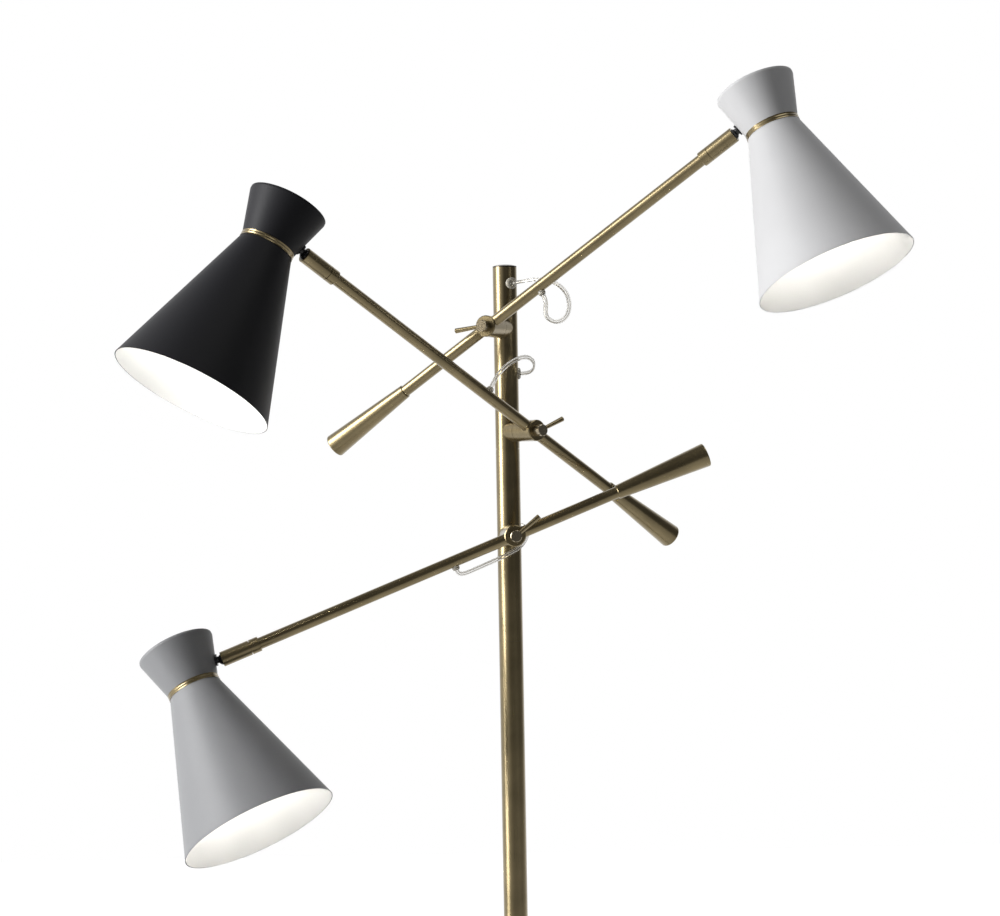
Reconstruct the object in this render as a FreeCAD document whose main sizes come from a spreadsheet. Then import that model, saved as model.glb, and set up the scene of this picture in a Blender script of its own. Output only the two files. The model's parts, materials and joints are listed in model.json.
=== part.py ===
"""Floor lamp with three swinging arms, in millimetres.

A weighted round base carries one straight pole.  Three stations on the pole
each hold an arm that is clamped through its middle: a tapered counterweight
hangs on the short end, and a ball joint carries a double-cone shade on the
long end.  Z points up, the origin is the centre of the base on the floor,
and the lamp is seen from the front along +Y.
"""
import FreeCAD, Part
import math
import os
import re
import Sketcher

Vector = FreeCAD.Vector
Rotation = FreeCAD.Rotation
Placement = FreeCAD.Placement

EASE_SHARE = "0.3"               # depth of the middle corner of an eased edge

X_AXIS = Vector(1, 0, 0)
Y_AXIS = Vector(0, 1, 0)
Z_AXIS = Vector(0, 0, 1)

# ---------------------------------------------------------------- driving sizes
# A text is a formula in the sheet, so that pieces which fit together stay together.
SIZES = {
    # base
    "base_radius": 150.0,
    "base_height": 22.0,
    "base_wall": 1.2,
    "base_round": 5.0,
    "base_lift": 1.0,            # rim of the cover above the floor
    "felt_thickness": 2.0,
    "felt_inset": 4.0,
    "weight_gap": 0.4,           # between the weight and its cover
    "inlet_radius": 5.5,
    "inlet_bore": 3.2,
    # pole
    "pole_radius": 12.5,
    "pole_wall": 1.2,
    "pole_top": 1600.0,
    "pole_root": 9.0,            # length screwed into the weight
    "seam_gap": 0.3,
    "seam_drop": 18.5,           # turning seam below a boss
    "foot_seam_drop": 110.5,     # fixed seam below the lowest boss
    "spigot_length": 22.0,
    "spigot_gap": 0.1,
    "spigot_wall": 1.6,
    "cap_rise": 3.0,
    "cap_skirt": 10.0,
    # boss on the pole and the head that swivels on it, from the pole axis outwards
    "arm_reach": 43.5,           # to the arm axis
    "boss_drop": 63.0,           # from the pole top to the highest boss
    "boss_pitch": 107.5,
    "boss_radius": 11.0,
    "boss_edge": 0.8,
    "hub_face": "=pole_radius + 9.5",
    "head_gap": 0.4,
    "head_face": "=arm_reach + 7.5",
    "fit_gap": 0.05,
    # clamp screw
    "screw_radius": 3.0,
    "screw_gap": 0.2,
    "screw_end": "=pole_radius + 1.5",
    "knob_radius": 6.0,
    "knob_face": "=head_face + 10",
    "knob_gap": 0.3,
    "knob_edge": 0.5,
    "lever_reach": 31.5,
    "lever_root": 2.0,
    "lever_tip": 2.65,
    "lever_seat": 2.5,           # bottom of the lever's hole in the knob
    # arm
    "arm_radius": 6.0,
    "arm_wall": 1.0,
    "arm_length": 291.0,         # from the boss to the groove of the knuckle
    "arm_seat": 8.0,
    "tail_length": 115.5,        # from the boss to the counterweight
    "taper_length": 101.0,
    "taper_narrow": "=arm_radius + 1.25",
    "taper_wide": 12.5,
    "taper_seat": 14.0,
    "taper_round": 1.2,
    # knuckle
    "knuckle_radius": "=arm_radius + 1.75",
    "knuckle_edge": 0.5,
    "collar_length": 10.0,
    "barrel_length": 31.0,
    "groove_width": 0.6,
    "ball_radius": 6.0,
    "ball_gap": 0.1,
    "ball_inset": 2.0,           # ball centre behind the mouth of the barrel
    "nipple_gap": 0.2,
    "wire_bore": 1.6,
    "neck_radius": 3.5,
    "flange_radius": 6.0,
    "flange_thickness": 1.5,
    "stem_radius": 3.0,
    "stem_gap": 0.3,
    "nut_radius": 5.0,
    "nut_thickness": 3.2,
    # shade, along its own axis, with the lower edge of the waist ring at 0
    "mouth_radius": 79.0,
    "waist_radius": 27.0,
    "crown_radius": 40.3,
    "skirt_height": 157.5,
    "ring_height": 5.0,
    "crown_height": 45.0,
    "crown_round": 3.0,
    "shade_wall": 0.8,
    "ring_proud": 0.5,
    "ring_rib": 0.35,
    "ring_tongue": 3.5,
    "tongue_wall": 1.0,
    "ball_height": 17.0,         # ball centre above the waist
    "ball_offset": "=waist_radius + 12.5",
    # lamp holder and bulb
    "holder_radius": 17.0,
    "holder_wall": 3.5,
    "holder_drop": 25.0,
    "holder_top": 28.0,
    "holder_neck": 8.0,
    "strap_width": 12.0,
    "strap_thickness": 1.5,
    "strap_gap": 1.0,
    "strap_foot": 6.0,
    "strap_top": 38.0,
    "bulb_base_radius": 13.2,
    "bulb_base_length": 24.0,
    "bulb_radius": 22.5,
    "bulb_length": 56.0,         # glass below the rim of the holder
    # cords and their grommets
    "cord_radius": 2.0,
    "cord_gap": 0.15,
    "cord_inset": 1.4,           # depth of the cord's end in the grommet
    "pole_grommet_radius": 6.0,
    "pole_grommet_rise": 2.2,
    "arm_grommet_radius": 3.9,
    "arm_grommet_rise": 3.2,
    "grommet_neck": 0.9,         # wall of the neck round the cord
    "wire_hole_distance": 68.0,  # along the arm from the boss
}

# Each station: boss number counted from the top, turn of the section round the
# pole, lift of the arm round the boss, the three turns of the ball joint (round
# the arm, across it, round the neck), the lever's angle, and the wire holes: the side
# of the arm, the turn round the pole from the boss, and the rise above the boss.
STATIONS = {
    "white": {"step": 0, "turn": -24.3, "lift": 33.5, "ball": (178.8, 7.6, 175.1),
              "lever": 187.5, "wire_side": -1, "wire_turn": 56.5, "wire_rise": 46.0},
    "black": {"step": 1, "turn": 36.8, "lift": 148.0, "ball": (12.8, 15.6, 164.5),
              "lever": 21.8, "wire_side": -1, "wire_turn": 56.5, "wire_rise": 60.0},
    "grey": {"step": 2, "turn": 6.7, "lift": 201.6, "ball": (29.1, 13.5, 173.7),
             "lever": 39.0, "wire_side": 1, "wire_turn": 180.0, "wire_rise": 12.0},
}

# Routes of the three short cords between the straight leads out of their grommets:
# x and y from the pole axis, z from the middle of the boss.
CORD_ROUTES = {
    "white": ((29.0, -34.5, 48.2), (48.5, -47.0, 45.4), (62.6, -54.0, 33.6),
              (65.8, -60.5, 17.6), (61.0, -66.0, 5.0), (50.0, -72.5, 0.5),
              (39.5, -73.0, 7.0)),
    "black": ((28.8, -5.4, 64.5), (29.0, -17.4, 71.9), (20.6, -30.4, 77.1),
              (5.6, -45.0, 71.1), (-6.4, -57.0, 60.9)),
    "grey": ((5.6, 31.0, 10.4), (17.0, 27.6, 7.8), (20.8, 14.4, 3.4),
             (18.4, -3.0, -4.4), (10.4, -23.0, -13.4), (-4.6, -37.4, -20.6),
             (-23.0, -45.6, -28.2), (-38.4, -48.6, -34.6), (-47.8, -49.6, -38.2)),
}
# Straight leads of each cord, out of the pole and out of the arm.
CORD_LEADS = {"white": (13.0, 8.4), "black": (9.0, 9.2), "grey": (10.0, 5.4)}

# Outline of the bulb's glass as shares of its radius and of its length.
BULB_PROFILE = ((0.66, 0.1), (0.97, 0.48), (0.97, 0.68), (0.6, 0.93))

doc = FreeCAD.newDocument("three_arm_floor_lamp")
sheet = doc.addObject("Spreadsheet::Sheet", "Sizes")
for row, (alias, number) in enumerate(SIZES.items(), start=1):
    cell = "B%d" % row
    sheet.set("A%d" % row, alias)
    sheet.set(cell, str(number))
    sheet.setAlias(cell, alias)
doc.recompute()

PIECES = {}


def cells(text):
    """A size expression with each name written as a cell of the sheet."""
    return re.sub("[a-z_]+", lambda name: "Sizes." + name.group(0), text)


def size(text):
    """The present value of a size expression."""
    return float(sheet.evalExpression(cells(text)))


# ---------------------------------------------------------------- building blocks
def new_body(label, frame=Placement()):
    """An empty body, which becomes the sub-part of that name."""
    body = doc.addObject("PartDesign::Body", label)
    body.Label = label
    body.Placement = frame
    PIECES[label] = body
    return body


def origin_plane(body, role):
    """One of the body's own origin planes."""
    return next(item for item in body.Origin.OriginFeatures if item.Role == role)


def pin_vertex(sketch, curve, corner, across, along, number):
    """Tie one corner of an outline to two size expressions."""
    for kind, text, axis in (("DistanceX", across, -2), ("DistanceY", along, -1)):
        if text == "0":
            sketch.addConstraint(Sketcher.Constraint("PointOnObject", curve, corner, axis))
            continue
        index = sketch.addConstraint(
            Sketcher.Constraint(kind, curve, corner, size(text)))
        name = "%s_%d" % (kind, number)
        sketch.renameConstraint(index, name)
        sketch.setExpression("Constraints." + name, cells(text))


def closed_outline(body, name, corners, plane="XZ_Plane"):
    """Sketch of straight lines through corners given as pairs of expressions."""
    sketch = body.newObject("Sketcher::SketchObject", name)
    sketch.AttachmentSupport = [(origin_plane(body, plane), "")]
    sketch.MapMode = "FlatFace"
    spots = [Vector(size(across), size(along), 0) for across, along in corners]
    lines = [Part.LineSegment(spot, spots[(number + 1) % len(spots)])
             for number, spot in enumerate(spots)]
    sketch.addGeometry(lines, False)
    for number in range(len(spots)):
        following = (number + 1) % len(spots)
        sketch.addConstraint(Sketcher.Constraint("Coincident", number, 2, following, 1))
    for number, (across, along) in enumerate(corners):
        pin_vertex(sketch, number, 1, across, along, number)
    return sketch


def turned(label, corners, frame):
    """Body turned about its own Z axis, from (radius, height) corners."""
    body = new_body(label, frame)
    sketch = closed_outline(body, label + "_outline", corners)
    feature = body.newObject("PartDesign::Revolution", label + "_turned")
    feature.Profile = sketch
    feature.ReferenceAxis = (sketch, ["V_Axis"])
    feature.Angle = 360
    body.Tip = feature
    return body


def primitive(body, kind, name, sizes, spot=Placement()):
    """Add or cut a plain solid, with its sizes bound to the sheet."""
    feature = body.newObject("PartDesign::" + kind, name)
    feature.Placement = spot
    for prop, text in sizes.items():
        setattr(feature, prop, size(text))
        feature.setExpression(prop, cells(text))
    body.Tip = feature
    return feature


def bore(body, name, radius, depth, spot):
    """Cut a round hole that starts at spot and runs along its Z axis."""
    return primitive(body, "SubtractiveCylinder", name,
                     {"Radius": radius, "Height": depth}, spot)


def eased_edge(radius, height, amount, to_wall, lean="0"):
    """Three corners in place of a sharp rim.

    to_wall is the sign of the way along the axis from the rim to the side wall,
    and lean is how much that wall closes in over one unit of height.
    """
    amount = "(%s)" % amount
    middle = EASE_SHARE + " * " + amount
    return [(radius + " - %s * (%s)" % (amount, lean), height + to_wall + amount),
            (radius + " - " + middle, height + to_wall + middle),
            (radius + " - " + amount, height)]


# ---------------------------------------------------------------- frames
def boss_height(station):
    """Height of a station's boss above the floor."""
    return size("pole_top - boss_drop") - station["step"] * size("boss_pitch")


def section_frame(station):
    """Frame of a pole section: boss along -Y, origin on the pole axis."""
    return Placement(Vector(0, 0, boss_height(station)), Rotation(Z_AXIS, station["turn"]))


def boss_frame(station):
    """Frame with Z along the boss, outwards, and its origin on the pole axis."""
    return section_frame(station) * Placement(Vector(), Rotation(X_AXIS, 90))


def arm_frame(station):
    """Frame at the crossing of boss and arm, with X along the arm to the shade."""
    spot = Placement(Vector(0, -size("arm_reach"), 0), Rotation(-Y_AXIS, station["lift"]))
    return section_frame(station) * spot


def arm_axis_frame(station):
    """The arm's frame with Z along the arm, for turned pieces."""
    return arm_frame(station) * Placement(Vector(), Rotation(Y_AXIS, 90))


def knuckle_frame(station):
    """Frame on the arm axis at the groove of the knuckle, with Z towards the shade."""
    return arm_axis_frame(station) * Placement(Vector(0, 0, size("arm_length")), Rotation())


def ball_frame(station, turns=3):
    """Frame at the ball centre after the first turns of the joint, X towards the shade."""
    spin, tilt, twist = station["ball"]
    ball_distance = size("arm_length + barrel_length - ball_inset")
    frame = arm_frame(station) * Placement(Vector(ball_distance, 0, 0), Rotation())
    steps = ((X_AXIS, spin), (Y_AXIS, tilt), (X_AXIS, twist))
    for axis, angle in steps[:turns]:
        frame = frame * Placement(Vector(), Rotation(axis, angle))
    return frame


def neck_frame(station):
    """Frame at the ball centre with Z along the neck, towards the shade."""
    return ball_frame(station) * Placement(Vector(), Rotation(Y_AXIS, 90))


def crown_slope():
    """Angle of the upper cone's side from the shade axis, in degrees."""
    return math.degrees(math.atan(size("(crown_radius - waist_radius) / crown_height")))


def shade_frame(station):
    """Frame of the shade: origin in the waist, Z to the crown, X towards the ball."""
    lean = Placement(Vector(), Rotation(Y_AXIS, crown_slope()))
    half_turn = Placement(Vector(), Rotation(Z_AXIS, 180))
    centre = Placement(Vector(-size("ball_offset"), 0, -size("ball_height")), Rotation())
    return ball_frame(station) * lean * half_turn * centre


def neck_in_shade(distance=0.0):
    """In the shade's frame: Z along the neck, origin that far from the ball centre."""
    ball = Placement(Vector(size("ball_offset"), 0, size("ball_height")), Rotation())
    lean = Placement(Vector(), Rotation(Y_AXIS, crown_slope() - 90))
    return ball * lean * Placement(Vector(0, 0, distance), Rotation())


def wall_distance():
    """Distance along the neck from the ball centre to the outside of the upper cone."""
    slope = math.radians(crown_slope())
    side = size("ball_offset - waist_radius") - size("ball_height - ring_height") * math.tan(slope)
    return side * math.cos(slope)


# ---------------------------------------------------------------- base
def make_base():
    """Iron disc under a spun cover, on a felt pad, with the inlet at the back."""
    turned("felt_pad",
           [("0", "0"), ("base_radius - felt_inset", "0"),
            ("base_radius - felt_inset", "felt_thickness"), ("0", "felt_thickness")],
           Placement())

    outside = eased_edge("base_radius", "base_height", "base_round", " - ")
    inside = eased_edge("base_radius - base_wall", "base_height - base_wall",
                        "base_round - base_wall / 2", " - ")
    cover = turned("base_cover",
                   [("base_radius", "base_lift")] + outside
                   + [("0", "base_height"), ("0", "base_height - base_wall")]
                   + inside[::-1] + [("base_radius - base_wall", "base_lift")],
                   Placement())
    bore(cover, "base_cover_pole_hole", "pole_radius + fit_gap", "base_height", Placement())

    inlet_height = size("(base_height + felt_thickness) / 2")
    inlet_spot = Placement(Vector(0, size("base_radius - base_wall - weight_gap"), inlet_height),
                           Rotation(X_AXIS, -90))
    bore(cover, "base_cover_inlet_hole", "inlet_radius - base_wall + fit_gap",
         "4 * base_wall", inlet_spot)

    weight = turned("base_weight",
                    [("0", "felt_thickness"),
                     ("base_radius - base_wall - weight_gap", "felt_thickness"),
                     ("base_radius - base_wall - weight_gap", "base_height - 2 * base_round"),
                     ("base_radius - 2 * base_round", "base_height - base_wall - weight_gap"),
                     ("0", "base_height - base_wall - weight_gap")],
                    Placement())
    root = size("base_height - base_wall - weight_gap - pole_root")
    bore(weight, "base_weight_pole_hole", "pole_radius + fit_gap", "base_height",
         Placement(Vector(0, 0, root), Rotation()))
    bore(weight, "base_weight_wire_hole", "pole_radius - pole_wall - 2 * fit_gap",
         "base_height", Placement())
    channel = primitive(weight, "SubtractiveBox", "base_weight_wire_channel",
                        {"Length": "2 * inlet_radius", "Width": "base_radius",
                         "Height": "base_height / 2 - felt_thickness"},
                        Placement(Vector(-size("inlet_radius"), 0, size("felt_thickness")),
                                  Rotation()))
    channel.setExpression("Placement.Base.x", cells("0 - inlet_radius"))
    bore(weight, "base_weight_inlet_seat", "inlet_radius + fit_gap", "inlet_radius * 2",
         Placement(Vector(0, size("base_radius - base_wall - 2 * inlet_radius"), inlet_height),
                   Rotation(X_AXIS, -90)))

    turned("inlet_grommet",
           [("inlet_bore", "0"), ("inlet_radius - base_wall", "0"),
            ("inlet_radius - base_wall", "base_wall + weight_gap + fit_gap"),
            ("inlet_radius", "base_wall + weight_gap + fit_gap"),
            ("inlet_radius - base_wall / 2", "3 * base_wall"),
            ("inlet_bore", "3 * base_wall")],
           inlet_spot)


# ---------------------------------------------------------------- pole
def pole_tube(label, low, high, spigot):
    """Tube between two heights, with a spigot in its upper end where one is asked for."""
    corners = [("pole_radius - pole_wall", low), ("pole_radius", low), ("pole_radius", high)]
    if spigot:
        corners += [("pole_radius - pole_wall - spigot_gap", high),
                    ("pole_radius - pole_wall - spigot_gap", high + " + spigot_length / 2"),
                    ("pole_radius - pole_wall - spigot_wall", high + " + spigot_length / 2"),
                    ("pole_radius - pole_wall - spigot_wall", high + " - spigot_length / 2"),
                    ("pole_radius - pole_wall", high + " - spigot_length / 2")]
    else:
        corners += [("pole_radius - pole_wall", high)]
    return turned(label, corners, Placement())


def boss_level(name):
    """Expression for the height of a station's boss."""
    return "pole_top - boss_drop - %d * boss_pitch" % STATIONS[name]["step"]


def make_pole():
    """Lower pole, three stacked sections and the cap."""
    foot = "base_height - base_wall - weight_gap - pole_root"
    low_seam = boss_level("grey") + " - foot_seam_drop"
    pole_tube("lower_pole", foot, low_seam, spigot=True)

    limits = {
        "grey": (low_seam + " + seam_gap", boss_level("black") + " - seam_drop", True),
        "black": (boss_level("black") + " - seam_drop + seam_gap",
                  boss_level("white") + " - seam_drop", True),
        "white": (boss_level("white") + " - seam_drop + seam_gap", "pole_top", False),
    }
    for name, (low, high, spigot) in limits.items():
        station = STATIONS[name]
        tube = pole_tube(name + "_pole_section", low, high, spigot)
        tube.Placement = Placement(Vector(), Rotation(Z_AXIS, station["turn"]))
        wire = Placement(Vector(0, 0, boss_height(station) + station["wire_rise"]),
                         Rotation(Z_AXIS, station["wire_turn"]) * Rotation(X_AXIS, 90))
        bore(tube, name + "_section_wire_hole",
             "cord_radius + cord_gap + grommet_neck + fit_gap", "2 * pole_radius", wire)

    cap_rim = "pole_top + seam_gap"
    turned("pole_cap",
           [("0", "pole_top - cap_skirt"),
            ("pole_radius - pole_wall - spigot_gap", "pole_top - cap_skirt"),
            ("pole_radius - pole_wall - spigot_gap", cap_rim),
            ("pole_radius", cap_rim),
            ("pole_radius", cap_rim + " + cap_rise / 3"),
            ("pole_radius * 2 / 3", cap_rim + " + cap_rise * 3 / 4"),
            ("0", cap_rim + " + cap_rise")],
           Placement())


# ---------------------------------------------------------------- boss and clamp
def make_hub(name, station):
    """Stub brazed to the pole, saddled to its round side and tapped for the screw."""
    hub = turned(name + "_hub",
                 [("screw_radius + screw_gap", "0"), ("boss_radius", "0"),
                  ("boss_radius", "hub_face"), ("screw_radius + screw_gap", "hub_face")],
                 boss_frame(station))
    across = Placement(Vector(0, -size("2 * boss_radius"), 0), Rotation(X_AXIS, -90))
    bore(hub, name + "_hub_saddle", "pole_radius + fit_gap", "4 * boss_radius", across)


def make_head(name, station):
    """Swivel head that holds the arm in a cross hole near its front face."""
    head = turned(name + "_swivel_head",
                  [("screw_radius + screw_gap", "hub_face + head_gap"),
                   ("boss_radius", "hub_face + head_gap"),
                   ("boss_radius", "head_face - boss_edge"),
                   ("boss_radius - boss_edge", "head_face"),
                   ("screw_radius + screw_gap", "head_face")],
                  boss_frame(station))
    along_arm = Rotation(Z_AXIS, station["lift"]) * Rotation(Y_AXIS, 90)
    start = Placement(Vector(0, 0, size("arm_reach")), along_arm)
    start = start * Placement(Vector(0, 0, -size("2 * boss_radius")), Rotation())
    bore(head, name + "_head_arm_hole", "arm_radius + fit_gap", "4 * boss_radius", start)


def make_clamp(name, station):
    """Knob with its long screw, and the lever set in the knob's side."""
    knob = turned(name + "_clamp_knob",
                  [("0", "screw_end"), ("screw_radius", "screw_end"),
                   ("screw_radius", "head_face + knob_gap"),
                   ("knob_radius", "head_face + knob_gap"),
                   ("knob_radius", "knob_face - knob_edge"),
                   ("knob_radius - knob_edge", "knob_face"), ("0", "knob_face")],
                  boss_frame(station))
    middle = size("(head_face + knob_gap + knob_face) / 2")
    sideways = Placement(Vector(0, 0, middle),
                         Rotation(Z_AXIS, station["lever"]) * Rotation(Y_AXIS, 90))
    seat = sideways * Placement(Vector(0, 0, size("lever_seat")), Rotation())
    bore(knob, name + "_knob_lever_hole", "lever_root + fit_gap", "knob_radius", seat)

    turned(name + "_clamp_lever",
           [("0", "lever_seat + fit_gap"), ("lever_root", "lever_seat + fit_gap"),
            ("lever_root", "knob_radius"),
            ("lever_tip", "lever_reach - knob_edge"),
            ("lever_tip - knob_edge", "lever_reach"), ("0", "lever_reach")],
           boss_frame(station) * sideways)


# ---------------------------------------------------------------- arm
def make_arm(name, station):
    """Arm tube, pierced for the clamp screw and for the cord."""
    frame = arm_axis_frame(station)
    low = "0 - tail_length - taper_seat"
    high = "arm_length - collar_length + arm_seat"
    tube = turned(name + "_arm_tube",
                  [("arm_radius - arm_wall", low), ("arm_radius", low),
                   ("arm_radius", high), ("arm_radius - arm_wall", high)],
                  frame)
    bore(tube, name + "_arm_screw_hole", "screw_radius + screw_gap", "4 * arm_radius",
         Placement(Vector(0, -size("2 * arm_radius"), 0), Rotation(X_AXIS, -90)))
    bore(tube, name + "_arm_wire_hole", "cord_radius + cord_gap + grommet_neck + fit_gap",
         "2 * arm_radius", wire_hole_in_arm(station))

    end = "0 - tail_length - taper_length"
    lean = "(taper_wide - taper_narrow) / taper_length"
    weight = turned(name + "_counterweight",
                    [("0", end)] + eased_edge("taper_wide", end, "taper_round", " + ", lean)[::-1]
                    + [("taper_narrow", "0 - tail_length - knuckle_edge"),
                       ("taper_narrow - knuckle_edge", "0 - tail_length"),
                       ("0", "0 - tail_length")],
                    frame)
    seat = Placement(Vector(0, 0, -size("tail_length + taper_seat + 2 * fit_gap")), Rotation())
    bore(weight, name + "_counterweight_seat", "arm_radius + fit_gap",
         "taper_seat + 4 * fit_gap", seat)


def wire_hole_in_arm(station):
    """In the arm's turning frame: Z out through the cord's hole, origin on the arm axis."""
    outwards = Rotation(Y_AXIS, -90 * station["wire_side"])
    return Placement(Vector(0, 0, size("wire_hole_distance")), outwards)


# ---------------------------------------------------------------- knuckle
def make_knuckle(name, station):
    """Collar on the arm, barrel screwed over its nipple, and the ball with its stem."""
    frame = knuckle_frame(station)
    turned(name + "_arm_collar",
           [("arm_radius + fit_gap", "0 - collar_length"),
            ("knuckle_radius - knuckle_edge", "0 - collar_length"),
            ("knuckle_radius", "knuckle_edge - collar_length"),
            ("knuckle_radius", "0 - groove_width / 2"),
            ("ball_radius", "0 - groove_width / 2"),
            ("ball_radius", "barrel_length - ball_inset - ball_radius + nipple_gap"),
            ("2 * wire_bore", "barrel_length - ball_inset - ball_radius + nipple_gap"),
            ("2 * wire_bore", "arm_seat - collar_length + 2 * fit_gap"),
            ("arm_radius + fit_gap", "arm_seat - collar_length + 2 * fit_gap")],
           frame)

    barrel = turned(name + "_knuckle_barrel",
                    [("ball_radius + ball_gap", "groove_width / 2"),
                     ("knuckle_radius", "groove_width / 2"),
                     ("knuckle_radius", "barrel_length - knuckle_edge"),
                     ("knuckle_radius - knuckle_edge", "barrel_length"),
                     ("neck_radius", "barrel_length"),
                     ("neck_radius", "barrel_length - ball_inset"),
                     ("ball_radius + ball_gap", "barrel_length - ball_inset")],
                    frame)
    socket = Placement(Vector(0, 0, size("barrel_length - ball_inset")), Rotation())
    primitive(barrel, "SubtractiveSphere", name + "_barrel_socket",
              {"Radius": "ball_radius + ball_gap"}, socket)

    wall = wall_distance()
    flange_base = wall - size("stem_gap")
    nut_face = wall + size("shade_wall + strap_gap + strap_thickness + stem_gap")
    stem = new_body(name + "_ball_stem", neck_frame(station))
    primitive(stem, "AdditiveSphere", name + "_ball", {"Radius": "ball_radius"})
    lengths = (("neck", "neck_radius", 0.0, flange_base),
               ("flange", "flange_radius", flange_base - size("flange_thickness"), flange_base),
               ("tail", "stem_radius", flange_base, nut_face),
               ("nut", "nut_radius", nut_face, nut_face + size("nut_thickness")))
    for part, radius, low, high in lengths:
        rod = primitive(stem, "AdditiveCylinder", name + "_stem_" + part, {"Radius": radius},
                        Placement(Vector(0, 0, low), Rotation()))
        rod.Height = high - low
    through = bore(stem, name + "_stem_wire_hole", "wire_bore", "2 * ball_radius",
                   Placement(Vector(0, 0, -size("ball_radius")), Rotation()))
    through.setExpression("Height", None)
    through.Height = size("2 * ball_radius + nut_thickness") + nut_face


# ---------------------------------------------------------------- shade
def make_shade(name, station):
    """Upper cone with a closed crown, brass ring in the waist, and long lower cone."""
    frame = shade_frame(station)
    crown_top = "(ring_height + crown_height)"
    lean = "(crown_radius - waist_radius) / crown_height"
    outside = eased_edge("crown_radius", crown_top, "crown_round", " - ", lean)
    inside = eased_edge("crown_radius - shade_wall * (1 + %s)" % lean, crown_top + " - shade_wall",
                        "crown_round - shade_wall / 2", " - ", lean)
    crown = turned(name + "_upper_cone",
                   [("waist_radius", "ring_height")] + outside
                   + [("0", crown_top), ("0", crown_top + " - shade_wall")]
                   + inside[::-1] + [("waist_radius - shade_wall", "ring_height")],
                   frame)
    bore(crown, name + "_crown_stem_hole", "stem_radius + stem_gap", "ball_offset / 2",
         neck_in_shade())

    turned(name + "_lower_cone",
           [("mouth_radius - shade_wall", "0 - skirt_height"),
            ("mouth_radius", "0 - skirt_height"),
            ("waist_radius", "0"), ("waist_radius - shade_wall", "0")],
           frame)

    proud = "waist_radius + ring_proud"
    sunk = "waist_radius + ring_proud - ring_rib"
    tongue = "waist_radius - shade_wall - fit_gap"
    inner = "waist_radius - shade_wall - fit_gap - tongue_wall"
    ribs = 3
    levels = 2 * ribs - 2
    profile = [(sunk if level % 2 else proud,
                "fit_gap + (ring_height - 2 * fit_gap) * %d / %d" % (level, levels))
               for level in range(levels + 1)]
    turned(name + "_waist_ring",
           [(inner, "0 - ring_tongue"), (tongue, "0 - ring_tongue"), (tongue, "fit_gap")]
           + profile
           + [(tongue, "ring_height - fit_gap"), (tongue, "ring_height + ring_tongue"),
              (inner, "ring_height + ring_tongue")],
           frame)


def make_holder(name, station):
    """Lamp holder hung from the stem by a bent strap, and the bulb in it."""
    frame = shade_frame(station)
    inner = "holder_radius - holder_wall"
    holder = turned(name + "_lampholder",
                    [(inner, "0 - holder_drop"), ("holder_radius", "0 - holder_drop"),
                     ("holder_radius", "holder_top"),
                     ("holder_neck", "strap_top - strap_thickness / 2"),
                     ("0", "strap_top - strap_thickness / 2"),
                     ("0", "holder_top - holder_wall"),
                     (inner, "holder_top - holder_wall")],
                    frame)

    slope = math.radians(crown_slope())
    outer = wall_distance() + size("shade_wall + strap_gap")
    start = neck_in_shade(outer).Base
    climb = size("strap_top") - size("strap_thickness") * math.sin(slope) - start.z
    reach = climb / math.cos(slope)
    corner = neck_in_shade(outer) * Vector(reach, 0, size("strap_thickness"))
    side = -size("strap_width / 2")
    leg = primitive(holder, "AdditiveBox", name + "_strap_leg",
                    {"Width": "strap_width", "Height": "strap_thickness"},
                    neck_in_shade(outer) * Placement(Vector(-size("strap_foot"), side, 0), Rotation()))
    leg.Length = size("strap_foot") + reach
    top = primitive(holder, "AdditiveBox", name + "_strap_top",
                    {"Width": "strap_width", "Height": "strap_thickness"},
                    Placement(Vector(0, side, size("strap_top - strap_thickness")), Rotation()))
    top.Length = corner.x
    bore(holder, name + "_strap_stem_hole", "stem_radius + stem_gap", "4 * strap_thickness",
         neck_in_shade(outer - size("strap_thickness")))

    rim = "0 - holder_drop"
    turned(name + "_bulb",
           [("0", rim + " + bulb_base_length"), ("bulb_base_radius", rim + " + bulb_base_length"),
            ("bulb_base_radius", rim)]
           + [("bulb_radius * %s" % wide, rim + " - bulb_length * %s" % deep)
              for wide, deep in BULB_PROFILE]
           + [("0", rim + " - bulb_length")],
           frame)


# ---------------------------------------------------------------- grommets and cords
def make_grommet(label, frame, rim, rise, carrier, wall):
    """Round grommet saddled on a tube, with its neck through the tube's wall."""
    top = carrier + " + " + rise
    body = turned(label,
                  [("0", "0"), (rim, "0"), (rim, top + " - " + rise + " / 2"),
                   (rim + " * 0.8", top), ("0", top)],
                  frame)
    across = Placement(Vector(0, -size("2 * pole_radius"), 0), Rotation(X_AXIS, -90))
    bore(body, label + "_saddle", carrier + " + fit_gap", "4 * pole_radius", across)
    neck = Placement(Vector(0, 0, size(carrier + " - " + wall)), Rotation())
    primitive(body, "AdditiveCylinder", label + "_neck",
              {"Radius": "cord_radius + cord_gap + grommet_neck",
               "Height": wall + " + " + rise + " / 2"}, neck)
    bore(body, label + "_bore", "cord_radius + cord_gap", top, Placement())


def pole_wire_frame(station):
    """Frame on the pole axis with Z out through the section's cord hole."""
    turn = Placement(Vector(0, 0, station["wire_rise"]), Rotation(Z_AXIS, station["wire_turn"]))
    return section_frame(station) * turn * Placement(Vector(), Rotation(X_AXIS, 90))


def arm_wire_frame(station):
    """Frame on the arm axis with Z out through the arm's cord hole and Y along the arm."""
    across = Placement(Vector(), Rotation(Z_AXIS, 90))
    return arm_axis_frame(station) * wire_hole_in_arm(station) * across


def make_grommets(name, station):
    """Grommet in the pole section, and the one in the arm."""
    make_grommet(name + "_pole_grommet", pole_wire_frame(station), "pole_grommet_radius",
                 "pole_grommet_rise", "pole_radius", "pole_wall")
    make_grommet(name + "_arm_grommet", arm_wire_frame(station), "arm_grommet_radius",
                 "arm_grommet_rise", "arm_radius", "arm_wall")


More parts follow.
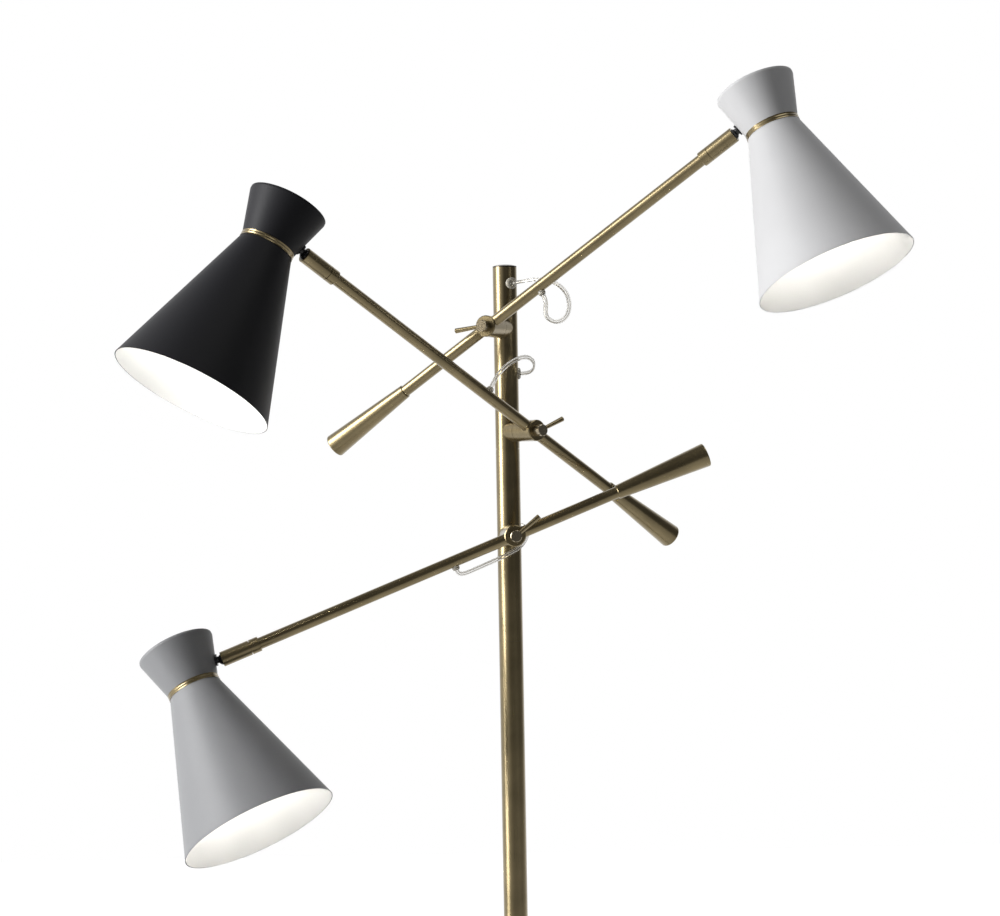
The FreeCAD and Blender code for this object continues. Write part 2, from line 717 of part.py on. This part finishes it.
def rounded_route(points):
    """Straight runs joined by tangent arcs, with the arc radii."""
    share = 0.45
    edges = []
    radii = []
    start = points[0]
    for before, corner, after in zip(points, points[1:], points[2:]):
        into = (corner - before).normalize()
        out = (after - corner).normalize()
        cut = share * min((corner - before).Length, (after - corner).Length)
        half_turn = into.getAngle(out) / 2
        radius = cut / math.tan(half_turn)
        radii.append(radius)
        arc_start = corner - into * cut
        arc_end = corner + out * cut
        to_centre = (out - into).normalize()
        middle = corner + to_centre * (radius / math.cos(half_turn) - radius)
        edges.append(Part.LineSegment(start, arc_start).toShape())
        edges.append(Part.Arc(arc_start, middle, arc_end).toShape())
        start = arc_end
    edges.append(Part.LineSegment(start, points[-1]).toShape())
    return Part.Wire(edges), radii


def make_cord(name):
    """Short cord from the pole into the arm."""
    station = STATIONS[name]
    pole_lead, arm_lead = CORD_LEADS[name]
    pole_end = size("pole_radius + pole_grommet_rise - cord_inset")
    arm_end = size("arm_radius + arm_grommet_rise - cord_inset")
    boss = Vector(0, 0, boss_height(station))
    points = [pole_wire_frame(station) * Vector(0, 0, pole_end),
              pole_wire_frame(station) * Vector(0, 0, pole_end + pole_lead)]
    points += [Vector(*point) + boss for point in CORD_ROUTES[name]]
    points += [arm_wire_frame(station) * Vector(0, 0, arm_end + arm_lead),
               arm_wire_frame(station) * Vector(0, 0, arm_end)]
    path, radii = rounded_route(points)
    radius = size("cord_radius")
    start = (points[1] - points[0]).normalize()
    section = Part.Wire(Part.makeCircle(radius, points[0], start))
    tube = path.makePipeShell([section], True, False)
    feature = doc.addObject("Part::Feature", name + "_cord")
    feature.Label = name + "_cord"
    feature.Shape = tube
    feature.Placement = Placement()
    PIECES[feature.Label] = feature
    expected = math.pi * radius ** 2 * path.Length
    print("%s cord: length %.1f, volume/expected %.4f, radii %s" % (
        name, path.Length, tube.Volume / expected, ["%.1f" % value for value in radii]))


# ---------------------------------------------------------------- assembly
make_base()
make_pole()
for station_name, station_data in STATIONS.items():
    make_hub(station_name, station_data)
    make_head(station_name, station_data)
    make_clamp(station_name, station_data)
    make_arm(station_name, station_data)
    make_knuckle(station_name, station_data)
    make_shade(station_name, station_data)
    make_holder(station_name, station_data)
    make_grommets(station_name, station_data)
    make_cord(station_name)
doc.recompute()

for item in doc.Objects:
    if "Invalid" in item.State or "Error" in item.State:
        raise RuntimeError("%s failed: %s" % (item.Label, item.State))
for label, piece in PIECES.items():
    if piece.Shape.isNull() or not piece.Shape.isValid():
        raise RuntimeError("%s has no valid shape" % label)

os.makedirs("parts", exist_ok=True)
for label, piece in PIECES.items():
    piece.Shape.exportStep("parts/%s.step" % label)
print("%d sub-parts" % len(PIECES))
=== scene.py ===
"""Looks of the three-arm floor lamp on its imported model, in metres.

Z points up, the origin is the centre of the base on the floor, and the lamp
is seen from the front along +Y.
"""
import json
import math

import bpy
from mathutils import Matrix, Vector


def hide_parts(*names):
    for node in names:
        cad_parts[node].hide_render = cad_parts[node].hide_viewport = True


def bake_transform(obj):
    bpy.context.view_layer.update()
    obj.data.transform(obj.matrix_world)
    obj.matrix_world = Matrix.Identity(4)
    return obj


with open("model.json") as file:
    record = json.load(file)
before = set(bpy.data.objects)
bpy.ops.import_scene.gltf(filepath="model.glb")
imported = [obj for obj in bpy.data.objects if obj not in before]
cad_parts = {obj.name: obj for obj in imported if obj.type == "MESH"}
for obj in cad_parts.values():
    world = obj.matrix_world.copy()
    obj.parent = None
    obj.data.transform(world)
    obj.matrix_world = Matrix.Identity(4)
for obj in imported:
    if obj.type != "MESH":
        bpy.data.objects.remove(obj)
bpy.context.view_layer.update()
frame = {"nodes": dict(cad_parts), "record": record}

STATIONS = ("white", "black", "grey")
UPWARDS = Vector((0.0, 0.0, 1.0))

# ---------------------------------------------------------------- camera
CAMERA_SPOT = Vector((-0.0082, -2.5, 1.40185))
CAMERA_LENS = 86.4               # mm
SENSOR_WIDTH = 36.0              # mm
CAMERA_ROLL = math.radians(1.0)
CAMERA_REACH = 50.0              # how far the camera sees

camera_data = bpy.data.cameras.new("camera")
camera_data.lens = CAMERA_LENS
camera_data.sensor_width = SENSOR_WIDTH
camera_data.clip_end = CAMERA_REACH
camera = bpy.data.objects.new("camera", camera_data)
camera.location = CAMERA_SPOT
camera.rotation_euler = (math.radians(90), CAMERA_ROLL, 0)
bpy.context.scene.collection.objects.link(camera)
bpy.context.scene.camera = camera

# ---------------------------------------------------------------- cords
HALF_RADIUS = 0.00135            # clear jacket round each of the cord's two wires
HALF_SPREAD = 0.00100            # from the middle of the cord to the middle of a half
WIRE_RADIUS = 0.00045
WAIST_SHARE = 0.78               # half height in the middle of a cord, as a share of HALF_RADIUS
LINE_STEPS = 10                  # steps of a smooth line for each control point

# Points of each route, from the grommet in the pole to the one in the arm.
CORD_ROUTES = {
    "white": ((0.0071, -0.0113, 1.5830), (0.0140, -0.0223, 1.5830), (0.0290, -0.0345, 1.5852),
              (0.0485, -0.0470, 1.5824), (0.0626, -0.0540, 1.5706), (0.0658, -0.0605, 1.5546),
              (0.0610, -0.0660, 1.5420), (0.0500, -0.0725, 1.5375), (0.0395, -0.0730, 1.5440),
              (0.0418, -0.0665, 1.5612), (0.0376, -0.0646, 1.5682)),
    "black": ((0.0134, 0.0008, 1.4895), (0.0224, 0.0013, 1.4895), (0.0288, -0.0054, 1.4940),
              (0.0290, -0.0174, 1.5014), (0.0206, -0.0304, 1.5066), (0.0056, -0.0450, 1.5006),
              (-0.0064, -0.0570, 1.4904), (-0.0129, -0.0640, 1.4799),
              (-0.0169, -0.0670, 1.4719)),
    "grey": ((-0.0016, 0.0133, 1.3340), (-0.0028, 0.0232, 1.3340), (0.0056, 0.0310, 1.3324),
             (0.0170, 0.0276, 1.3298), (0.0208, 0.0144, 1.3254), (0.0184, -0.0030, 1.3176),
             (0.0104, -0.0230, 1.3086), (-0.0046, -0.0374, 1.3014),
             (-0.0230, -0.0456, 1.2938), (-0.0384, -0.0486, 1.2874),
             (-0.0478, -0.0496, 1.2838), (-0.0530, -0.0500, 1.2849),
             (-0.0550, -0.0502, 1.2900)),
}


def smooth_line(name, points):
    """Points along a smooth curve that has the route as its control points."""
    curve = bpy.data.curves.new(name + "_line", "CURVE")
    curve.dimensions = "3D"
    curve.resolution_u = LINE_STEPS
    spline = curve.splines.new("NURBS")
    spline.points.add(len(points) - 1)
    for target, point in zip(spline.points, points):
        target.co = (*point, 1.0)
    spline.order_u = 3
    spline.use_endpoint_u = True
    holder = bpy.data.objects.new(name + "_line", curve)
    mesh = bpy.data.meshes.new_from_object(holder)
    line = [vertex.co.copy() for vertex in mesh.vertices]
    bpy.data.objects.remove(holder)
    bpy.data.curves.remove(curve)
    bpy.data.meshes.remove(mesh)
    return line


def carried_frames(line):
    """Tangent and side direction at each point, with as little twist as can be."""
    tangents = []
    for number in range(len(line)):
        before = line[max(number - 1, 0)]
        after = line[min(number + 1, len(line) - 1)]
        tangents.append((after - before).normalized())
    side = tangents[0].orthogonal().normalized()
    sides = [side]
    for old, new in zip(tangents, tangents[1:]):
        side = old.rotation_difference(new) @ side
        side = (side - new * side.dot(new)).normalized()
        sides.append(side)
    return tangents, sides


def swept_mesh(name, line, outlines):
    """Mesh swept along a line from closed outlines given in (side, up) pairs."""
    tangents, sides = carried_frames(line)
    vertices = []
    faces = []
    for outline in outlines:
        first = len(vertices)
        count = len(outline)
        for point, tangent, side in zip(line, tangents, sides):
            up = tangent.cross(side)
            vertices += [point + side * across + up * high for across, high in outline]
        for ring in range(len(line) - 1):
            for number in range(count):
                here = first + ring * count + number
                beside = first + ring * count + (number + 1) % count
                faces.append((here, beside, beside + count, here + count))
        faces.append(tuple(first + number for number in reversed(range(count))))
        last = first + (len(line) - 1) * count
        faces.append(tuple(last + number for number in range(count)))
    mesh = bpy.data.meshes.new(name)
    mesh.from_pydata(vertices, [], faces)
    mesh.polygons.foreach_set("use_smooth", [True] * len(mesh.polygons))
    thing = bpy.data.objects.new(name, mesh)
    bpy.context.scene.collection.objects.link(thing)
    return thing


def ring_outline(radius, across, sides=8):
    """Round outline whose middle is moved to one side."""
    turns = [2 * math.pi * number / sides for number in range(sides)]
    return [(across + radius * math.cos(turn), radius * math.sin(turn)) for turn in turns]


def twin_outline(radius, spread, sides=20):
    """Outline of two round halves joined by a web."""
    outline = []
    for number in range(sides):
        turn = 2 * math.pi * (number + 0.5) / sides
        across = math.cos(turn)
        waist = WAIST_SHARE + (1 - WAIST_SHARE) * abs(across)
        outline.append((math.copysign(spread, across) + radius * across,
                        radius * math.sin(turn) * waist))
    return outline


def make_cord(station):
    """Clear twin cord with its two wires, from the pole to the arm."""
    route = CORD_ROUTES[station]
    line = smooth_line(station, route)
    jacket = swept_mesh(station + "_cord_jacket", line, [twin_outline(HALF_RADIUS, HALF_SPREAD)])
    wires = swept_mesh(station + "_cord_wires", line,
                       [ring_outline(WIRE_RADIUS, side * HALF_SPREAD) for side in (-1, 1)])
    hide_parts(station + "_cord")
    for piece in (jacket, wires):
        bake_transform(piece)
    return jacket, wires


cord_pieces = [make_cord(station) for station in STATIONS]

# ---------------------------------------------------------------- material tools
# How far a pattern is drawn out across and along its axis.
EVEN = (1.0, 1.0, 1.0)
LENGTHWAYS = (1.0, 1.0, 60.0)
ROUND_ABOUT = (30.0, 30.0, 1.0)
TINT_SPAN = (0.3, 0.7)           # values of a noise between which a colour changes


def new_material(name):
    """Material with a principled shader, and the tools to build on it."""
    material = bpy.data.materials.new(name)
    material.use_nodes = True
    return material, material.node_tree, material.node_tree.nodes["Principled BSDF"]


def add_node(tree, kind, **values):
    """Node of that kind with its inputs set by name."""
    node = tree.nodes.new(kind)
    for key, value in values.items():
        node.inputs[key.replace("_", " ")].default_value = value
    return node


def noise(tree, scale, detail, along=UPWARDS, stretch=EVEN):
    """Noise in the lamp's own coordinates, drawn out about an axis."""
    place = tree.nodes.new("ShaderNodeTexCoord")
    mapping = tree.nodes.new("ShaderNodeMapping")
    mapping.vector_type = "TEXTURE"
    mapping.inputs["Rotation"].default_value = along.to_track_quat("Z", "Y").to_euler()
    mapping.inputs["Scale"].default_value = stretch
    tree.links.new(place.outputs["Object"], mapping.inputs["Vector"])
    texture = add_node(tree, "ShaderNodeTexNoise", Scale=scale, Detail=detail)
    tree.links.new(mapping.outputs["Vector"], texture.inputs["Vector"])
    return texture.outputs["Fac"]


def tint(tree, shader, source, low, high):
    """Base colour that goes from low to high with the source."""
    node = tree.nodes.new("ShaderNodeValToRGB")
    for element, position, colour in zip(node.color_ramp.elements, TINT_SPAN, (low, high)):
        element.position = position
        element.color = (*colour, 1.0)
    tree.links.new(source, node.inputs["Fac"])
    tree.links.new(node.outputs["Color"], shader.inputs["Base Color"])


def ramp(tree, source, values, levels):
    """Level that goes from the first to the second while the source goes over two values."""
    node = add_node(tree, "ShaderNodeMapRange", From_Min=values[0], From_Max=values[1],
                    To_Min=levels[0], To_Max=levels[1])
    tree.links.new(source, node.inputs["Value"])
    return node.outputs["Result"]


def vary_roughness(tree, shader, source, low, high):
    """Roughness that goes from low to high with the source."""
    tree.links.new(ramp(tree, source, (0.0, 1.0), (low, high)), shader.inputs["Roughness"])


def bump(tree, shader, source, strength, depth):
    """Relief from the source's height."""
    relief = add_node(tree, "ShaderNodeBump", Strength=strength, Distance=depth)
    tree.links.new(source, relief.inputs["Height"])
    tree.links.new(relief.outputs["Normal"], shader.inputs["Normal"])


# ---------------------------------------------------------------- materials
BRASS_DARK = (0.215, 0.168, 0.084)
BRASS_LIGHT = (0.300, 0.236, 0.122)
# Lighter and smoother brass of the clamp knobs, lighter than the rest of the lamp's brass
KNOB_BRASS_DARK = (0.36, 0.30, 0.20)
KNOB_BRASS_LIGHT = (0.45, 0.385, 0.27)
BRONZE_DARK = (0.055, 0.045, 0.032)
BRONZE_LIGHT = (0.085, 0.070, 0.047)
TIN_DARK = (0.64, 0.62, 0.57)
TIN_LIGHT = (0.70, 0.68, 0.62)
GLOW_COLOUR = (1.0, 0.975, 0.95, 1.0)
BULB_GLOW = 8.5
FELT_SHEEN = 0.4
PLASTIC_IOR = 1.5

# Lowest and highest roughness of each metal, and the lacquer on them.
BRASS_ROUGH = (0.24, 0.34)
KNOB_BRASS_ROUGH = (0.16, 0.28)
BRONZE_ROUGH = (0.30, 0.42)
TIN_ROUGH = (0.25, 0.35)
LACQUER = 0.6
LACQUER_ROUGH = 0.22

# Noises. A scale counts cells in a metre, and a depth is in metres. A share is the darkest
# tone's part of the colour, and a rough value is how far the roughness goes with the noise.
PLAIN_DETAIL = 2.0
RICH_DETAIL = 4.0
LINE_SCALE = 600.0               # brushed lines of a metal
LINE_STRENGTH = 0.05
LINE_DEPTH = 0.00002
PATCH_SCALE = 34.0               # darker patches of a metal
TONE_SCALE = 14.0                # tones of a paint
TONE_SHARE = 0.96
TONE_ROUGH = 0.03
PEEL_SCALE = 1400.0              # orange peel of a paint
PEEL_STRENGTH = 0.05
PEEL_DEPTH = 0.0001
GRAIN_SHARE = 0.75               # grain of a moulded, cast or felted surface
GRAIN_ROUGH = 0.05
GRAIN_STRENGTH = 0.4
HAZE_SCALE = 220.0               # haze in plastic or glass
HAZE_SHARE = 0.97
HAZE_ROUGH = 0.04


def darker(colour, share):
    """The colour at a share of its brightness."""
    return tuple(value * share for value in colour)


def metal(name, dark, light, rough, along, stretch):
    """Brushed and lacquered metal: fine lines about an axis and darker patches."""
    material, tree, shader = new_material(name)
    shader.inputs["Metallic"].default_value = 1.0
    shader.inputs["Coat Weight"].default_value = LACQUER
    shader.inputs["Coat Roughness"].default_value = LACQUER_ROUGH
    lines = noise(tree, LINE_SCALE, PLAIN_DETAIL, along, stretch)
    tint(tree, shader, noise(tree, PATCH_SCALE, RICH_DETAIL), dark, light)
    vary_roughness(tree, shader, lines, *rough)
    bump(tree, shader, lines, LINE_STRENGTH, LINE_DEPTH)
    return material


def paint(name, colour, rough, gloss=0.28):
    """Satin powder coat: a slight orange peel and a faint variation of tone."""
    material, tree, shader = new_material(name)
    tone = noise(tree, TONE_SCALE, RICH_DETAIL)
    tint(tree, shader, tone, darker(colour, TONE_SHARE), colour)
    vary_roughness(tree, shader, tone, rough - TONE_ROUGH, rough + TONE_ROUGH)
    bump(tree, shader, noise(tree, PEEL_SCALE, PLAIN_DETAIL), PEEL_STRENGTH, PEEL_DEPTH)
    shader.inputs["Specular IOR Level"].default_value = gloss
    return material


def grained(name, colour, rough, scale, depth):
    """Moulded, cast or felted surface with an even grain."""
    material, tree, shader = new_material(name)
    grain = noise(tree, scale, RICH_DETAIL)
    tint(tree, shader, grain, darker(colour, GRAIN_SHARE), colour)
    vary_roughness(tree, shader, grain, rough - GRAIN_ROUGH, rough + GRAIN_ROUGH)
    bump(tree, shader, grain, GRAIN_STRENGTH, depth)
    return material


def clear_plastic(name, colour, rough, clearness):
    """See-through plastic or glass with a faint haze."""
    material, tree, shader = new_material(name)
    haze = noise(tree, HAZE_SCALE, PLAIN_DETAIL)
    tint(tree, shader, haze, darker(colour, HAZE_SHARE), colour)
    vary_roughness(tree, shader, haze, rough, rough + HAZE_ROUGH)
    shader.inputs["Transmission Weight"].default_value = clearness
    shader.inputs["IOR"].default_value = PLASTIC_IOR
    return material


def antique_brass(name, along=UPWARDS, stretch=LENGTHWAYS):
    """The lamp's satin brass, brushed along or round an axis."""
    return metal("antique_brass_" + name, BRASS_DARK, BRASS_LIGHT, BRASS_ROUGH, along, stretch)


bronze_cap = metal("dark_bronze", BRONZE_DARK, BRONZE_LIGHT, BRONZE_ROUGH, UPWARDS, ROUND_ABOUT)
tinned_wire = metal("tinned_wire", TIN_DARK, TIN_LIGHT, TIN_ROUGH, UPWARDS, LENGTHWAYS)
inner_white = paint("inner_white_enamel", (0.88, 0.88, 0.87), rough=0.55)
black_metal = grained("blackened_metal", (0.02, 0.02, 0.022), rough=0.25, scale=300.0, depth=0.00003)
socket_plastic = grained("socket_plastic", (0.03, 0.03, 0.032), rough=0.5, scale=500.0, depth=0.00005)
rubber = grained("inlet_rubber", (0.025, 0.025, 0.026), rough=0.7, scale=420.0, depth=0.0001)
cast_iron = grained("cast_iron", (0.06, 0.06, 0.062), rough=0.75, scale=260.0, depth=0.0004)
felt = grained("black_felt", (0.03, 0.03, 0.033), rough=0.94, scale=900.0, depth=0.0006)
felt.node_tree.nodes["Principled BSDF"].inputs["Sheen Weight"].default_value = FELT_SHEEN
cord_plastic = clear_plastic("clear_cord_plastic", (0.95, 0.94, 0.92), rough=0.05, clearness=0.95)
grommet_plastic = clear_plastic("milky_grommet", (0.86, 0.82, 0.72), rough=0.25, clearness=0.45)
opal_glass = clear_plastic("opal_bulb_glass", (0.96, 0.95, 0.92), rough=0.35, clearness=0.25)
opal_shader = opal_glass.node_tree.nodes["Principled BSDF"]
opal_shader.inputs["Emission Color"].default_value = GLOW_COLOUR
opal_shader.inputs["Emission Strength"].default_value = BULB_GLOW

PAINT = {
    "white": paint("white_satin_paint", (0.80, 0.80, 0.81), rough=0.48),
    "black": paint("black_satin_paint", (0.021, 0.021, 0.024), rough=0.50, gloss=0.18),
    "grey": paint("grey_satin_paint", (0.278, 0.281, 0.290), rough=0.46),
}

# ---------------------------------------------------------------- finishing the nodes
FLAT_LIMIT = 0.8                 # above this a face lies square to the shade's axis
CREASE = math.radians(32)
JOINTS = {joint["name"]: joint for joint in frame["record"]["behaviour"]["joints"]}


def middle_of(node):
    """Middle of a turned piece's surface, which lies on its axis."""
    faces = frame["nodes"][node].data.polygons
    whole = sum(face.area for face in faces)
    return sum((face.center * face.area for face in faces), Vector()) / whole


def joint_axis(name):
    """Direction of a joint's axis."""
    return Vector(JOINTS[name]["axis"]).normalized()


def station_materials(station):
    """Material of each piece of one arm and of the pole section that carries it."""
    arm_way = middle_of(station + "_arm_collar") - middle_of(station + "_counterweight")
    screw_way = joint_axis(station + "_arm_tilt")
    turned = antique_brass(station + "_arm_turned", arm_way, ROUND_ABOUT)
    # the clamp knob gets the lighter, smoother brass
    bright = metal("knob_brass_" + station, KNOB_BRASS_DARK, KNOB_BRASS_LIGHT, KNOB_BRASS_ROUGH,
                   screw_way, ROUND_ABOUT)
    pole = antique_brass(station + "_pole")
    materials = {
        "pole_section": pole,
        "hub": pole,
        "swivel_head": antique_brass(station + "_head", screw_way, ROUND_ABOUT),
        "clamp_knob": bright,
        "clamp_lever": turned,
        "arm_tube": antique_brass(station + "_arm", arm_way),
        "counterweight": antique_brass(station + "_counterweight", arm_way),
        "arm_collar": turned,
        "knuckle_barrel": turned,
        "ball_stem": black_metal,
        "waist_ring": antique_brass(station + "_ring", stretch=EVEN),
        "lampholder": socket_plastic,
        "bulb": opal_glass,
        "pole_grommet": grommet_plastic,
        "arm_grommet": grommet_plastic,
        "upper_cone": PAINT[station],
        "lower_cone": PAINT[station],
    }
    return {station + "_" + part: material for part, material in materials.items()}


NODE_MATERIAL = {
    "pole_cap": bronze_cap,
    "base_cover": antique_brass("base", UPWARDS, ROUND_ABOUT),
    "base_weight": cast_iron,
    "felt_pad": felt,
    "inlet_grommet": rubber,
    "lower_pole": antique_brass("lower_pole"),
}
for station in STATIONS:
    NODE_MATERIAL.update(station_materials(station))


def mark_sharp(mesh):
    """Smooth faces, with the edges between steeper faces left sharp."""
    mesh.polygons.foreach_set("use_smooth", [True] * len(mesh.polygons))
    faces_of = {}
    for polygon in mesh.polygons:
        for key in polygon.edge_keys:
            faces_of.setdefault(key, []).append(polygon.normal.copy())
    for edge in mesh.edges:
        normals = faces_of.get(edge.key, [])
        edge.use_edge_sharp = len(normals) == 2 and normals[0].angle(normals[1], 0.0) > CREASE


def enamel_inside(station, part):
    """White enamel on the walls of a cone that face the shade's axis."""
    start = middle_of(station + "_waist_ring")
    axis = (middle_of(station + "_lower_cone") - start).normalized()
    mesh = frame["nodes"]["%s_%s" % (station, part)].data
    mesh.materials.append(inner_white)
    for face in mesh.polygons:
        reach = face.center - start
        outward = reach - axis * reach.dot(axis)
        is_wall = abs(face.normal.dot(axis)) < FLAT_LIMIT
        if is_wall and face.normal.dot(outward) < 0:
            face.material_index = 1


for name, node in frame["nodes"].items():
    if name.endswith("_cord"):
        continue
    mark_sharp(node.data)
    node.data.materials.clear()
    node.data.materials.append(NODE_MATERIAL[name])
for station in STATIONS:
    enamel_inside(station, "lower_cone")
    enamel_inside(station, "upper_cone")
for jacket, wires in cord_pieces:
    jacket.data.materials.append(cord_plastic)
    wires.data.materials.append(tinned_wire)

# ---------------------------------------------------------------- world and lights
BACK_LEVEL = 1.0                 # world behind the lamp, as brass reflects it
FRONT_LEVEL = 0.10               # world in front of the lamp, as brass reflects it
LEFT_LEVEL = 0.90                # world to the left of the lamp, as brass reflects it
SOFT_LEVEL = 0.05                # world as soft light on matt surfaces
BACK_SPAN = (0.35, 0.85)         # Y of a direction while the world turns from front to back
LEFT_SPAN = (-0.85, -0.25)       # X of a direction while the world turns from left to front
PURE_WHITE = (1.0, 1.0, 1.0, 1.0)
FLOOR_HALF = 6.0
FLOOR_DARK = (0.50, 0.50, 0.50)
FLOOR_LIGHT = (0.53, 0.53, 0.52)
FLOOR_SCALE = 40.0
FLOOR_DETAIL = 3.0
FLOOR_ROUGH = 0.8
NEAR_GLOW = 0.78                 # floor's own white near the lamp, which keeps the shadow
NEAR_TO = 0.6                    # distance at which that white starts to rise
WHITE_FROM = 4.0                 # distance at which the floor is as white as the backdrop
FLOOR_FRONT = 0.40               # floor before the lamp, as brass reflects it
FLOOR_SPAN = (-1.0, 3.0)         # Y while the mirrored floor turns from front to back


def area_light(name, spot, target, width, height, power):
    """Soft box at a spot, turned towards a target."""
    data = bpy.data.lights.new(name, "AREA")
    data.shape = "RECTANGLE"
    data.size = width
    data.size_y = height
    data.energy = power
    light = bpy.data.objects.new(name, data)
    light.location = spot
    way = Vector(target) - Vector(spot)
    light.rotation_euler = way.to_track_quat("-Z", "Y").to_euler()
    bpy.context.scene.collection.objects.link(light)


def larger(tree, first, second):
    """The larger of two outputs."""
    node = tree.nodes.new("ShaderNodeMath")
    node.operation = "MAXIMUM"
    tree.links.new(first, node.inputs[0])
    tree.links.new(second, node.inputs[1])
    return node.outputs[0]


def white_studio():
    """White where it is seen, reflected from behind, and softer as light on the lamp."""
    world = bpy.data.worlds.new("studio")
    bpy.context.scene.world = world
    world.use_nodes = True
    tree = world.node_tree
    rays = tree.nodes.new("ShaderNodeLightPath")
    seen = larger(tree, rays.outputs["Is Camera Ray"], rays.outputs["Is Transmission Ray"])
    place = tree.nodes.new("ShaderNodeTexCoord")
    split = tree.nodes.new("ShaderNodeSeparateXYZ")
    tree.links.new(place.outputs["Generated"], split.inputs[0])
    behind = ramp(tree, split.outputs["Y"], BACK_SPAN, (FRONT_LEVEL, BACK_LEVEL))
    left = ramp(tree, split.outputs["X"], LEFT_SPAN, (LEFT_LEVEL, FRONT_LEVEL))
    mirrored = larger(tree, behind, left)
    glossy = tree.nodes.new("ShaderNodeMix")
    glossy.inputs["A"].default_value = SOFT_LEVEL
    tree.links.new(rays.outputs["Is Glossy Ray"], glossy.inputs["Factor"])
    tree.links.new(mirrored, glossy.inputs["B"])
    level = tree.nodes.new("ShaderNodeMix")
    level.inputs["B"].default_value = BACK_LEVEL
    tree.links.new(seen, level.inputs["Factor"])
    tree.links.new(glossy.outputs["Result"], level.inputs["A"])
    back = tree.nodes["Background"]
    back.inputs["Color"].default_value = PURE_WHITE
    tree.links.new(level.outputs["Result"], back.inputs["Strength"])


def pale_floor():
    """Large pale floor: white where it is seen, with the lamp's shadow kept on it."""
    mesh = bpy.data.meshes.new("floor")
    corners = [(x * FLOOR_HALF, y * FLOOR_HALF, 0.0)
               for x, y in ((-1, -1), (1, -1), (1, 1), (-1, 1))]
    mesh.from_pydata(corners, [], [(0, 1, 2, 3)])
    floor = bpy.data.objects.new("floor", mesh)
    bpy.context.scene.collection.objects.link(floor)
    material, tree, shader = new_material("pale_floor")
    tint(tree, shader, noise(tree, FLOOR_SCALE, FLOOR_DETAIL), FLOOR_DARK, FLOOR_LIGHT)
    shader.inputs["Roughness"].default_value = FLOOR_ROUGH
    shader.inputs["Emission Color"].default_value = PURE_WHITE
    rays = tree.nodes.new("ShaderNodeLightPath")
    seen = larger(tree, rays.outputs["Is Camera Ray"], rays.outputs["Is Glossy Ray"])
    seen = larger(tree, seen, rays.outputs["Is Transmission Ray"])
    place = tree.nodes.new("ShaderNodeTexCoord")
    away = tree.nodes.new("ShaderNodeVectorMath")
    away.operation = "LENGTH"
    tree.links.new(place.outputs["Object"], away.inputs[0])
    level = ramp(tree, away.outputs["Value"], (NEAR_TO, WHITE_FROM), (NEAR_GLOW, BACK_LEVEL))
    split = tree.nodes.new("ShaderNodeSeparateXYZ")
    tree.links.new(place.outputs["Object"], split.inputs[0])
    mirrored = ramp(tree, split.outputs["Y"], FLOOR_SPAN, (FLOOR_FRONT, BACK_LEVEL))
    shown = tree.nodes.new("ShaderNodeMix")
    tree.links.new(rays.outputs["Is Glossy Ray"], shown.inputs["Factor"])
    tree.links.new(level, shown.inputs["A"])
    tree.links.new(mirrored, shown.inputs["B"])
    glow = tree.nodes.new("ShaderNodeMath")
    glow.operation = "MULTIPLY"
    tree.links.new(seen, glow.inputs[0])
    tree.links.new(shown.outputs["Result"], glow.inputs[1])
    tree.links.new(glow.outputs[0], shader.inputs["Emission Strength"])
    mesh.materials.append(material)


white_studio()
pale_floor()
area_light("left_softbox", spot=(-2.15, -0.75, 1.75), target=(0.0, 0.0, 1.45),
           width=1.0, height=2.4, power=78.0)
area_light("top_softbox", spot=(0.9, -0.5, 3.6), target=(0.0, 0.0, 1.4),
           width=1.4, height=1.4, power=9.0)

bpy.context.scene.view_settings.view_transform = "Standard"
